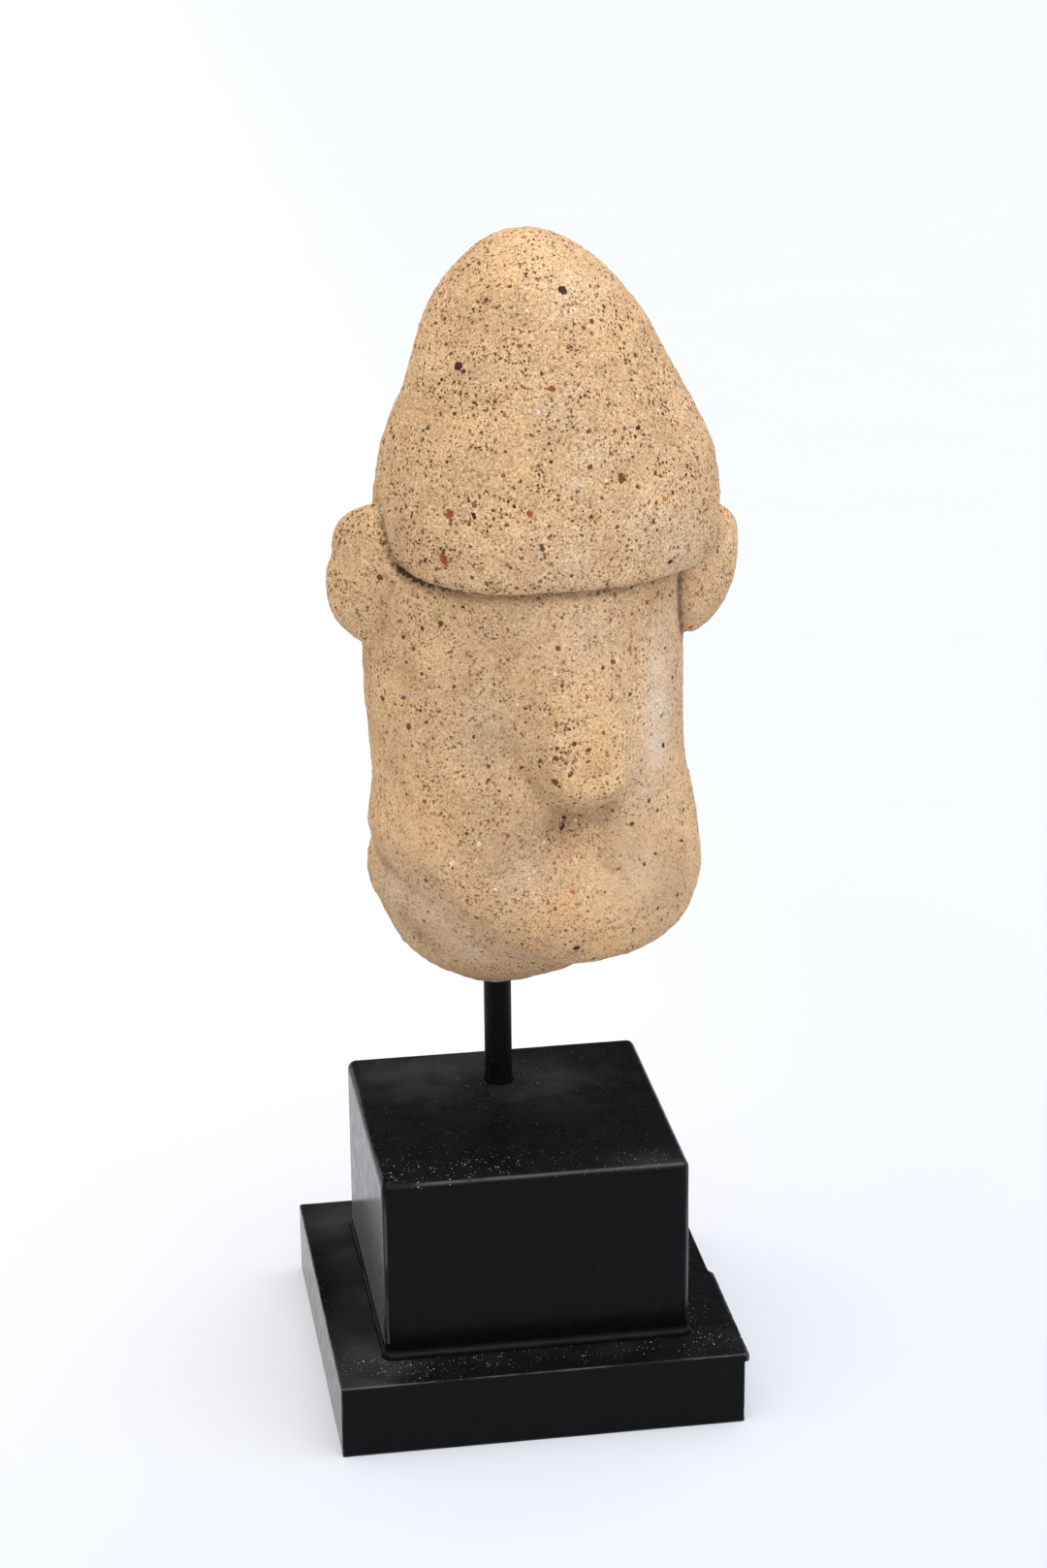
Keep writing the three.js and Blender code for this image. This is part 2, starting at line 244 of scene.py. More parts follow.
def read_number(piece, name):
    return read(piece.data.attributes[name].data, "value", 1)[:, 0].astype(float)


def apply_modifiers(piece):
    graph = bpy.context.evaluated_depsgraph_get()
    made = bpy.data.meshes.new_from_object(piece.evaluated_get(graph))
    old = piece.data
    piece.modifiers.clear()
    piece.data = made
    bpy.data.meshes.remove(old)


def relax(piece, points, rounds, share=0.5, weight=1.0):
    """The points after each has moved towards its neighbours' middle, that many times."""
    one, other = read(piece.data.edges, "vertices", 2, np.int32).T
    count = len(points)
    near = np.bincount(one, minlength=count) + np.bincount(other, minlength=count)
    points = points.copy()
    for _ in range(rounds):
        total = np.stack(
            [
                np.bincount(one, points[other, k], count) + np.bincount(other, points[one, k], count)
                for k in range(3)
            ],
            -1,
        )
        middle = total / near[:, None]
        points += (middle - points) * share * np.reshape(weight, (-1, 1))
    return points


def drill(piece, radius, bottom, top):
    """Cuts the rod's hole."""
    sides = 48
    ring = np.arange(sides) / sides * math.tau
    circle = np.stack([ROD["x"] + radius * np.cos(ring), ROD["y"] + radius * np.sin(ring)], -1)
    points = [(x, y, z) for z in (bottom, top) for x, y in circle]
    faces = [tuple(reversed(range(sides))), tuple(range(sides, 2 * sides))]
    faces += [(i, (i + 1) % sides, sides + (i + 1) % sides, sides + i) for i in range(sides)]
    cutter = mesh_piece("cutter", points, faces)
    cut = piece.modifiers.new("hole", "BOOLEAN")
    cut.operation = "DIFFERENCE"
    cut.solver = "EXACT"
    cut.object = cutter
    apply_modifiers(piece)
    mesh = cutter.data
    bpy.data.objects.remove(cutter)
    bpy.data.meshes.remove(mesh)
    # A point of the rim that only two faces share would leave folded triangles.
    made = bmesh.new()
    made.from_mesh(piece.data)
    bmesh.ops.dissolve_verts(made, verts=[v for v in made.verts if len(v.link_edges) == 2])
    made.to_mesh(piece.data)
    made.free()


# The head's forms

def along_rows(rows, share):
    """The rows' values at shares of the way along, on a smooth curve through them."""
    table = np.array(rows, float)
    last = len(table) - 1
    place = share * last
    i = np.minimum(np.floor(place).astype(int), last)
    w = (place - i)[:, None]
    before = table[np.maximum(i - 1, 0)]
    here = table[i]
    after = table[np.minimum(i + 1, last)]
    later = table[np.minimum(i + 2, last)]
    start = (after - before) / 2
    end = (later - here) / 2
    cubic = 2 * here - 2 * after + start + end
    square = -3 * here + 3 * after - 2 * start - end
    return cubic * w**3 + square * w**2 + start * w + here


def outline(level, degrees):
    """Points of the levels' outlines at angles from the front."""
    z, width, front, back, shift, set_back, square = (level[..., k] for k in range(7))
    side = np.sin(np.radians(degrees))
    ahead = np.cos(np.radians(degrees))
    power = 2 / square
    x = shift + width * np.sign(side) * np.abs(side) ** power
    y = set_back - np.where(ahead > 0, front, back) * np.sign(ahead) * np.abs(ahead) ** power
    return np.stack([x, y, z + 0 * side], -1)


def ring_faces(rings, count, inward=False):
    """The faces of a closed form made of rings between two end points."""
    end = (rings - 1) * count
    faces = []
    for i in range(count):
        j = (i + 1) % count
        a, b = (j, i) if inward else (i, j)
        faces.append((end, b, a))
        faces.append((end - count + a, end - count + b, end + 1))
        for ring in range(rings - 2):
            low, high = ring * count, (ring + 1) * count
            faces.append((low + a, low + b, high + b, high + a))
    return faces


def loft(rows, rings, count, steer=None, carve=None):
    """Points and faces of a closed form lofted through its rows."""
    levels = along_rows(rows, np.arange(1, rings) / rings)[:, None, :]
    angles = np.broadcast_to(np.arange(count) / count * 360, (rings - 1, count))
    steered = steer(angles, levels) if steer else angles
    points = outline(np.broadcast_to(levels, (rings - 1, count, 7)), steered)
    if carve:
        points = carve(points, angles)
    ends = [(row[4], row[5], row[0]) for row in (rows[0], rows[-1])]
    return np.concatenate([points.reshape(-1, 3), ends]), ring_faces(rings, count)


def down_nose(height):
    return np.clip((NOSE["top"] - height) / (NOSE["top"] - NOSE["tip"]), 0, 1)


def side_of(angle):
    return np.where(angle > 180, -1, 1)


def turn_of(angle):
    return np.where(angle > 180, 360 - angle, angle)


def steer_face(angle, level):
    """Turns the outline angles so that the same ones follow the edges of the nose."""
    height, width, shift, square = (level[..., k] for k in (0, 1, 4, 6))
    side = side_of(angle)
    turn = turn_of(angle)
    half = lerp(NOSE["top_half"], NOSE["tip_half"], down_nose(height))
    reach = np.clip((half + side * (NOSE["middle"] - shift)) / width, 0.05, 0.95)
    edge = np.degrees(np.arcsin(reach ** (square / 2)))
    outside = (turn - NOSE_EDGE) / (90 - NOSE_EDGE)
    steered = np.where(turn < NOSE_EDGE, turn / NOSE_EDGE * edge, edge + outside * (90 - edge))
    steered = np.where(turn >= 90, turn, steered)
    return np.where(side > 0, steered, 360 - steered)


def nose_rise(angle, height):
    """How far the nose stands out: it falls softly to its right, and in one plane to its left."""
    turn = turn_of(angle)
    left = side_of(angle) > 0
    soft_flank = 1 - smoothstep(turn, NOSE_EDGE - NOSE["softness"], NOSE_EDGE + 1.4 * NOSE["softness"])
    past = np.clip((turn - NOSE_EDGE) / (CHEEK["end"] - NOSE_EDGE), 0, 1)
    dropped = NOSE["edge_drop"] * smoothstep(turn, NOSE_EDGE - 3, NOSE_EDGE + 4)
    plane = (1 - past) ** CHEEK["fall"] * (1 - dropped)
    flank = np.where(left, plane, soft_flank)
    rounding = (np.minimum(turn, NOSE_EDGE + np.where(left, 4, 10)) / NOSE_EDGE) ** 2
    below, above = NOSE["reach"]
    lifted = height - np.where(left, NOSE["left_rounding"], NOSE["right_rounding"]) * rounding
    tip = smoothstep(lifted, NOSE["tip"] + below, NOSE["tip"] + above)
    slope = smoothstep(height, CHEEK["low"], CHEEK["high"])
    tip = lerp(tip, slope, np.where(left, smoothstep(turn, *CHEEK["blend"]), 0))
    rise = lerp(NOSE["top_rise"], NOSE["tip_rise"], down_nose(height) ** 1.15)
    return rise * flank * tip * (1 - 0.12 * np.minimum(rounding, 1.44))


def carve_face(points, angle):
    front = 1 - smoothstep(turn_of(angle), 50, 95)
    x, z = points[..., 0], points[..., 2]
    pressed = sum(
        depth * bump(x, across, wide) * bump(z, up, tall) for across, wide, up, tall, depth in FACE_PRESSES
    )
    points = points.copy()
    points[..., 1] += front * pressed - nose_rise(angle, z)
    jaw = JAW["step"] * jaw_share(x, z) * (1 - smoothstep(turn_of(angle), 75, 110))
    points[..., 1] += 0.7 * jaw
    points[..., 0] += 0.5 * jaw
    return points


def jaw_share(across, height):
    """1 on the jaw, below and to the right of the crease that parts it from the chin, and 0 on the chin."""
    under = JAW["low"] + JAW["climb"] * across**2 - height
    return smoothstep(under, -0.5, 1.6) * (1 - smoothstep(across, -7, 0)) * (1 - smoothstep(height, 20, 27))


def carve_cap(points, _):
    facing = CAP_FLAT["facing"] / np.linalg.norm(CAP_FLAT["facing"])
    around = np.broadcast_to(np.arange(CAP_SIDES) / CAP_SIDES * 360, (len(CAP_ROWS), CAP_SIDES))
    rows = np.broadcast_to(np.array(CAP_ROWS, float)[:, None, :], (len(CAP_ROWS), CAP_SIDES, 7))
    reach = (outline(rows, around) @ facing).max()
    excess = np.maximum(0, points @ facing - reach + CAP_FLAT["inset"])
    return points - CAP_FLAT["share"] * excess[..., None] * facing


def ear(outward, thickness, tall, out, back, up, sweep, slant, swells, mirrored=False):
    """Points and faces of an ear, a flap swept back from the side of the face."""
    rings, count = 48, 96
    polar = np.arange(1, rings)[:, None] / rings * math.pi
    around = np.arange(count) / count * math.tau
    ball = [np.sin(polar) * np.cos(around), np.sin(polar) * np.sin(around), np.cos(polar) + 0 * around]
    grid = np.concatenate([np.stack(ball, -1).reshape(-1, 3), [(0, 0, 1), (0, 0, -1)]])
    angle = np.degrees(np.arctan2(grid[:, 2], grid[:, 0]))
    swell = 1 + sum(by * bump(angle, at, spread) for at, spread, by in swells)
    x, y, z = grid[:, 0] * swell * outward, grid[:, 1] * thickness, grid[:, 2] * swell * tall
    y = y + EAR_BEND * x * np.abs(x)
    s, c = math.sin(math.radians(slant)), math.cos(math.radians(slant))
    x, z = x * c + z * s, -x * s + z * c
    s, c = math.sin(math.radians(sweep)), math.cos(math.radians(sweep))
    x, y = x * c - y * s, x * s + y * c
    points = np.stack([x + out, y + back, z + up], -1)
    faces = ring_faces(rings, count, inward=True)
    if mirrored:
        points = points * (-1, 1, 1)
        faces = [f[::-1] for f in faces]
    return points, faces


TURN = np.array(
    [[math.cos(HEAD_TURN), -math.sin(HEAD_TURN), 0], [math.sin(HEAD_TURN), math.cos(HEAD_TURN), 0], [0, 0, 1]]
)
HEAD_PLACE = np.array((ROD["x"], ROD["y"], HEAD_BOTTOM)) - TURN @ (np.array((*ROD_IN_HEAD, 0)) * HUNDREDTH)


def from_head(points):
    """From the head's own frame to the scene's, in millimetres."""
    return np.asarray(points) * HUNDREDTH @ TURN.T + HEAD_PLACE


def to_head(points):
    return (points - HEAD_PLACE) @ TURN / HUNDREDTH


def gaps_to(form, points):
    """Each point's distance in millimetres to a form's skin, as far as SEAM_REACH."""
    form_points, faces = form
    tree = BVHTree.FromPolygons(from_head(form_points).tolist(), faces)
    found = [tree.find_nearest(point, SEAM_REACH)[3] for point in points.tolist()]
    return np.array([SEAM_REACH if gap is None else gap for gap in found])


def seams_between(forms, points):
    """How far each point is from the crevices where the clay forms meet, and how deep these are."""
    face, neck, cap, left_ear, right_ear = (gaps_to(form, points) for form in forms)
    nearest = np.full(len(points), SEAM_REACH)
    depth = np.zeros(len(points))
    meetings = (
        (cap, face, 1.0), (cap, left_ear, 0.6), (cap, right_ear, 0.4), (face, left_ear, 0.6),
        (face, right_ear, 0.06), (face, neck, 0.06),
    )
    for one, other, strength in meetings:
        apart = np.hypot(one, other)
        nearer = apart < nearest
        nearest = np.where(nearer, apart, nearest)
        depth = np.where(nearer, strength, depth)
    return nearest, depth


def head_forms():
    """The face, neck, cap and ears as one fine skin."""
    forms = [
        loft(FACE_ROWS, 200, 288, steer_face, carve_face),
        loft(NECK_ROWS, 90, 180),
        loft(CAP_ROWS, 180, 240, carve=carve_cap),
        ear(**LEFT_EAR),
        ear(**RIGHT_EAR, mirrored=True),
    ]
    points, faces, start = [], [], 0
    for form_points, form_faces in forms:
        points.append(from_head(form_points))
        faces += [tuple(v + start for v in f) for f in form_faces]
        start += len(form_points)
    piece = mesh_piece("clay_head", np.concatenate(points), faces)
    skin = piece.modifiers.new("skin", "REMESH")
    skin.mode = "VOXEL"
    skin.voxel_size = VOXEL * MM
    skin.use_smooth_shade = True
    apply_modifiers(piece)
    seam, depth = seams_between(forms, points_of(piece))
    keep(piece, "seam", seam)
    keep(piece, "seam_depth", depth)
    return piece


# The camera and what it sees

def camera_axes():
    level = Vector((math.cos(CAMERA_YAW), -math.sin(CAMERA_YAW), 0))
    out = math.cos(CAMERA_PITCH)
    ahead = Vector((math.sin(CAMERA_YAW) * out, math.cos(CAMERA_YAW) * out, -math.sin(CAMERA_PITCH)))
    above = level.cross(ahead)
    right = math.cos(CAMERA_ROLL) * level + math.sin(CAMERA_ROLL) * above
    up = math.cos(CAMERA_ROLL) * above - math.sin(CAMERA_ROLL) * level
    return right, up, ahead


def make_camera():
    right, up, ahead = camera_axes()
    data = bpy.data.cameras.new("camera")
    data.sensor_width = SENSOR
    data.lens = CAMERA_FOCAL * SENSOR / IMAGE_HEIGHT
    data.clip_start = 0.01
    data.clip_end = 50
    camera = bpy.data.objects.new("camera", data)
    bpy.context.scene.collection.objects.link(camera)
    turn = Matrix((right, up, -ahead)).transposed().to_4x4()
    camera.matrix_world = Matrix.Translation(CAMERA_PLACE) @ turn
    bpy.context.scene.camera = camera


def seen_at(tree, across, down):
    """The point of a surface, in millimetres, that the camera sees at a place in its image."""
    right, up, ahead = camera_axes()
    aside = (across - IMAGE_WIDTH / 2) / CAMERA_FOCAL
    below = (down - IMAGE_HEIGHT / 2) / CAMERA_FOCAL
    ray = ahead + right * aside - up * below
    found = tree.ray_cast(CAMERA_PLACE, ray.normalized())
    return None if found[0] is None else np.array(found[0]) / MM


# The head's surface

# Grains given one by one: across and down in the image, radius in millimetres and kind.
PLUM, BROWN, RUST, ORANGE, SLATE, PALE = range(6)
GRAINS = [
    (473, 378, 1.1, PLUM), (580, 299, 1.15, PLUM), (395, 455, 1.0, PLUM), (488, 532, 0.9, PLUM),
    (658, 441, 0.85, PLUM), (568, 553, 0.5, PLUM), (631, 577, 0.6, SLATE), (484, 839, 0.55, BROWN),
    (569, 401, 1.15, RUST), (463, 530, 1.2, RUST), (642, 493, 1.2, BROWN), (458, 577, 1.3, RUST),
    (547, 530, 0.9, RUST), (633, 683, 0.85, RUST), (573, 806, 1.15, BROWN), (573, 782, 0.9, BROWN),
    (685, 515, 0.85, ORANGE), (492, 946, 0.7, SLATE), (595, 978, 1.0, PLUM), (612, 988, 0.6, PLUM),
    (395, 720, 0.8, BROWN), (416, 720, 0.75, SLATE), (422, 749, 0.85, BROWN), (440, 745, 0.6, BROWN),
    (392, 784, 0.7, BROWN), (466, 890, 0.95, PALE), (511, 917, 0.6, PALE), (607, 774, 0.7, BROWN),
    (622, 755, 0.8, RUST), (587, 752, 0.55, SLATE), (557, 785, 0.7, SLATE), (504, 790, 0.6, SLATE),
    (630, 722, 0.6, SLATE), (588, 800, 0.6, SLATE), (556, 425, 0.6, PALE), (556, 760, 0.6, RUST),
    (450, 333, 0.6, BROWN), (609, 295, 0.6, BROWN), (526, 296, 0.7, BROWN), (455, 427, 0.55, SLATE),
    (441, 441, 0.75, SLATE), (559, 385, 0.6, BROWN), (651, 392, 0.7, BROWN), (683, 427, 0.6, PLUM),
    (530, 522, 0.75, PLUM), (459, 568, 0.7, BROWN), (533, 607, 0.7, RUST), (658, 502, 0.8, SLATE),
    (392, 596, 0.8, BROWN), (405, 600, 0.7, RUST), (698, 922, 0.8, PLUM), (676, 880, 0.5, BROWN),
    (582, 843, 0.6, PLUM), (580, 853, 0.75, PLUM), (598, 841, 0.5, BROWN),
    (573, 938, 0.6, RUST), (627, 948, 0.5, BROWN), (606, 720, 0.5, BROWN), (580, 707, 0.6, BROWN),
]
# The scattered grains: how many, how far apart, how many places are tried, and the share of each kind.
GRAIN_COUNT = 420
GRAIN_GAP = 3.9
GRAIN_TRIES = 40000
GRAIN_SHARES = [0.24, 0.4, 0.16, 0.07, 0.08, 0.05]

# Soft patches, listed: across and down in the image, radius in millimetres, strength.
PATCHES = {
    "pale": [
        (680, 650, 5, 0.5), (680, 690, 6, 0.9), (680, 730, 7, 1.0), (678, 770, 7, 1.0),
        (610, 470, 4, 0.5), (598, 500, 3.5, 0.35), (592, 577, 3.5, 0.6), (600, 610, 5, 0.35),
        (560, 640, 6, 0.2), (500, 760, 8, 0.25), (690, 640, 4, 0.4), (650, 900, 8, 0.3),
        (540, 905, 8, 0.3), (505, 740, 6, 0.25), (430, 930, 7, 0.25), (667, 820, 6, 0.4),
        (480, 975, 9, 0.6), (525, 985, 6, 0.5), (705, 560, 8, 0.35), (575, 420, 5, 0.3),
        (402, 905, 8, 0.5), (440, 945, 8, 0.5), (605, 665, 9, 0.35), (590, 305, 8, 0.3),
        (702, 695, 5, 0.6), (572, 580, 9, 0.3), (668, 545, 8, 0.3), (625, 835, 5, 0.25),
    ],
    "warm": [
        (570, 943, 5, 0.7), (560, 965, 7, 0.4), (620, 960, 9, 0.35), (492, 923, 3.5, 0.5),
        (600, 700, 9, 0.35), (610, 780, 8, 0.3), (440, 840, 9, 0.2), (500, 280, 10, 0.2),
        (640, 330, 12, 0.2), (572, 580, 9, 0.3), (492, 978, 9, 0.3),
    ],
    # Stains, partly real and partly painted shade in the hollow under the nose and on the darker left side of
    # the cap.
    "stain_and_shade": [
        (434, 962, 3.2, 0.9), (424, 948, 2.2, 0.6), (395, 890, 4.5, 0.5), (553, 722, 4.5, 0.4),
        (500, 385, 7, 0.3), (480, 290, 9, 0.25), (578, 845, 4, 0.6), (480, 705, 8, 0.25),
        (520, 660, 7, 0.25), (560, 980, 5, 0.5), (560, 455, 9, 0.35), (590, 985, 3, 0.5),
        (690, 462, 8, 0.4), (482, 487, 8, 0.4), (448, 412, 6, 0.35), (412, 545, 6, 0.45),
        (556, 690, 5, 0.3), (532, 318, 6, 0.35), (440, 640, 6, 0.3), (655, 470, 6, 0.25),
        (366, 548, 5, 0.5), (690, 905, 9, 0.55), (640, 915, 6, 0.25), (495, 765, 8, 0.5),
        (478, 325, 8, 0.4), (515, 885, 10, 0.75), (548, 882, 8, 0.6), (497, 850, 9, 0.5),
        (428, 530, 8, 0.35), (532, 388, 7, 0.35), (402, 640, 8, 0.3), (662, 880, 7, 0.3),
        (470, 735, 7, 0.3), (412, 690, 6, 0.3), (530, 625, 5, 0.4), (498, 800, 7, 0.25),
        (718, 442, 6, 0.3), (372, 532, 5, 0.4), (465, 555, 7, 0.2), (440, 448, 7, 0.25),
        (425, 858, 8, 0.22),
    ],
    "calm": [
        (665, 905, 16, 0.7), (610, 950, 10, 0.3), (690, 780, 9, 0.5), (420, 880, 9, 0.5),
        (440, 950, 10, 0.4),
    ],
    "rust": [
        (420, 690, 3.6, 0.6), (425, 700, 2.4, 0.6), (435, 650, 1.5, 0.5), (403, 787, 2.2, 0.6),
        (441, 705, 1.4, 0.5), (458, 578, 2.6, 0.5), (350, 545, 3.5, 0.35), (344, 560, 3, 0.3),
        (575, 800, 2.4, 0.3),
    ],
}


def lump_head(piece):
    """The unevenness that hands and sand leave on the clay."""
    rest = points_of(piece)
    x, y, z = to_head(rest).T
    soft = relax(piece, rest, 3)
    # Clay is smeared from the cheek over the front of the right ear, and from the cap over the left one's.
    smear = bump(x, -19.5, 4) * bump(z, 49, 5) * bump(y, -4, 8)
    smear = smear + bump(x, 21, 4) * bump(z, 63, 5) * bump(y, -6, 7)
    soft = relax(piece, soft, 40, weight=np.clip(smear * 1.4, 0, 1))
    move_points(piece, soft)
    out = normals_of(piece)
    rise = 0.3 * wavy(soft, 24, 11) + 0.16 * wavy(soft, 9, 23) + 0.12 * wavy(soft, 4.2, 37)
    rise = rise + 0.16 * wavy(soft, 1.9, 51)
    # Small pits where grains have fallen out.
    apart, mark = pitted(soft, 3.6, 71)
    reach = 0.45 + 0.75 * mark
    rise = rise - np.where(mark > 0.45, 0.4 * (1 - smoothstep(apart, 0.3 * reach, reach)), 0)
    return soft + out * rise[:, None], out


def set_grains(points, tree):
    """Places the grains, the listed ones first, and returns their places, sizes and kinds."""
    random = np.random.default_rng(7)
    places, sizes, kinds = [], [], []
    for across, down, size, kind in GRAINS:
        at = seen_at(tree, across, down)
        if at is not None:
            places.append(at)
            sizes.append(size)
            kinds.append(kind)
    # The rest lie anywhere that no other grain is near.
    for start in random.permutation(len(points))[:GRAIN_TRIES]:
        if len(places) >= GRAIN_COUNT + len(GRAINS):
            break
        size = 0.3 + 0.5 * random.random() ** 2.5
        kind = random.choice(len(GRAIN_SHARES), p=GRAIN_SHARES)
        apart = np.linalg.norm(np.array(places) - points[start], axis=1)
        if (apart > np.array(sizes) + size + GRAIN_GAP).all():
            places.append(points[start])
            sizes.append(size)
            kinds.append(kind)
    return np.array(places), np.array(sizes), np.array(kinds)


def nearest_grain(points, places):
    best = np.full(len(points), np.inf)
    which = np.zeros(len(points), int)
    for i, place in enumerate(places):
        apart = np.linalg.norm(points - place, axis=1)
        nearer = apart < best
        best[nearer] = apart[nearer]
        which[nearer] = i
    return best, which


def finish_head(piece):
    points, out = lump_head(piece)
    move_points(piece, points)
    tree = BVHTree.FromObject(piece, bpy.context.evaluated_depsgraph_get())
    places, sizes, kinds = set_grains(points, tree)
    apart, which = nearest_grain(points, places)
    size = sizes[which]
    stand = 0.32 * size * (1 - smoothstep(apart, 0.5 * size, 1.35 * size))
    stand = stand * np.where(hashed(np.stack([which, which * 0, which * 0], -1), 5) > 0.45, 1, -0.8)
    points = points + out * stand[:, None]
    points = cut_seams(piece, points)
    move_points(piece, points)
    near = apart < size + 1.7
    # Each grain is longer one way than the other.
    random = np.random.default_rng(19)
    along = random.normal(size=places.shape)
    along = along / np.linalg.norm(along, axis=1, keepdims=True)
    stretch = random.uniform(-0.1, 0.9, len(places))
    from_place = points - places[which]
    lengthwise = np.sum(from_place * along[which], axis=1)
    from_place = from_place + (lengthwise * stretch[which])[:, None] * along[which]
    keep(piece, "grain_place", from_place, "FLOAT_VECTOR", "vector")
    keep(piece, "grain_size", np.where(near, size, 0))
    keep(piece, "grain_kind", (kinds[which] + 0.5) / len(GRAIN_SHARES))
    x, y, z = to_head(points).T
    keep(piece, "jaw", jaw_share(x, z) * (1 - smoothstep(y, 2, 12)))
    keep(piece, "face", 1 - smoothstep(z, 56, 62))
    # How far each point lies in a hollow; the clay's colour is darker there.
    sunk = relax(piece, points, 40) - points
    hollow = np.sum(sunk * normals_of(piece), axis=1)
    keep(piece, "hollow", np.clip(hollow / 0.5, -1, 1))
    for name, spots in PATCHES.items():
        amount = np.zeros(len(points))
        for across, down, wide, strength in spots:
            at = seen_at(tree, across, down)
            if at is not None:
                amount = np.maximum(amount, strength * bump(np.linalg.norm(points - at, axis=1), 0, wide))
        keep(piece, name, amount)
    drill(piece, ROD["radius"] + ROD["clearance"], HEAD_BOTTOM - 20, HEAD_BOTTOM + ROD["in_head"])


def cut_seams(piece, points):
    """Presses the crevices where the cap and the ears were laid on the face."""
    seam = read_number(piece, "seam")
    depth = read_number(piece, "seam_depth") * (0.85 + 0.3 * wavy(points, 11, 63))
    back = smoothstep(to_head(points)[:, 1], 0, 10)
    groove = 1.5 * depth * (1 - 0.7 * back) * np.exp(-((seam / 1.05) ** 2))
    return points - normals_of(piece) * groove[:, None]


# The base

def spaced(low, high, fine, step):
    """Places along an edge: fine near both ends, at the given step between."""
    count = max(2, round((high - low - 2 * fine[-1]) / step) + 1)
    inner = np.linspace(low + fine[-1], high - fine[-1], count)
    ends = np.array(fine[:-1])
    return np.concatenate([low + ends, inner, (high - ends)[::-1]])


def box_skin(*lines):
    """Points and faces of a box's surface, with its lines at the given places along x, y and z."""
    index, points, faces = {}, [], []
    counts = [len(line) - 1 for line in lines]
    for first, second, across in ((0, 1, 2), (0, 2, 1), (1, 2, 0)):
        for u, v in np.ndindex(counts[first], counts[second]):
            for level in (0, counts[across]):
                ring = [(u, v), (u, v + 1), (u + 1, v + 1), (u + 1, v)]
                if (level > 0) != (across == 1):
                    ring = ring[:1] + ring[:0:-1]
                face = []
                for a, b in ring:
                    at = [level] * 3
                    at[first], at[second] = a, b
                    at = tuple(at)
                    if at not in index:
                        index[at] = len(points)
                        points.append([line[i] for line, i in zip(lines, at)])
                    face.append(index[at])
                faces.append(tuple(face))
    return np.array(points, float), faces


def round_edges(points, low, high, radius):
    """Rounds a box's upright and upper edges."""
    inner_low = np.array((low[0] + radius, low[1] + radius, -1e9))
    inner_high = np.array((high[0] - radius, high[1] - radius, high[2] - radius))
    core = np.clip(points, inner_low, inner_high)
    away = points - core
    length = np.linalg.norm(away, axis=1)
    longest = np.abs(away).max(1)
    share = np.where(length > 1e-9, radius / np.maximum(length, 1e-9), 0)
    return np.where((longest > radius * 0.999)[:, None], core + away * share[:, None], points)


def edge_nearness(points, low, high, reach):
    """1 on a box's edges, falling to 0 at that distance from them."""
    gaps = np.sort(np.minimum(points - low, high - points), axis=1)
    return 1 - smoothstep(gaps[:, 1], 0, reach)


def weathered(piece, points, rest, low, high, seed, swell, apart, skip, depth, reach, near):
    """The points with the paint's unevenness, and with nicks near the edges. The underside stays flat."""
    uneven = swell * wavy(points, 16, seed) + 0.01 * wavy(points, 4, seed + 2)
    nicks, mark = pitted(points, apart, seed + 4)
    nicks = depth * (mark > skip) * (1 - smoothstep(nicks, 0.2, reach)) * edge_nearness(rest, low, high, near)
    push = (uneven - nicks) * (rest[:, 2] > low[2] + 0.01)
    return points + normals_of(piece) * push[:, None]


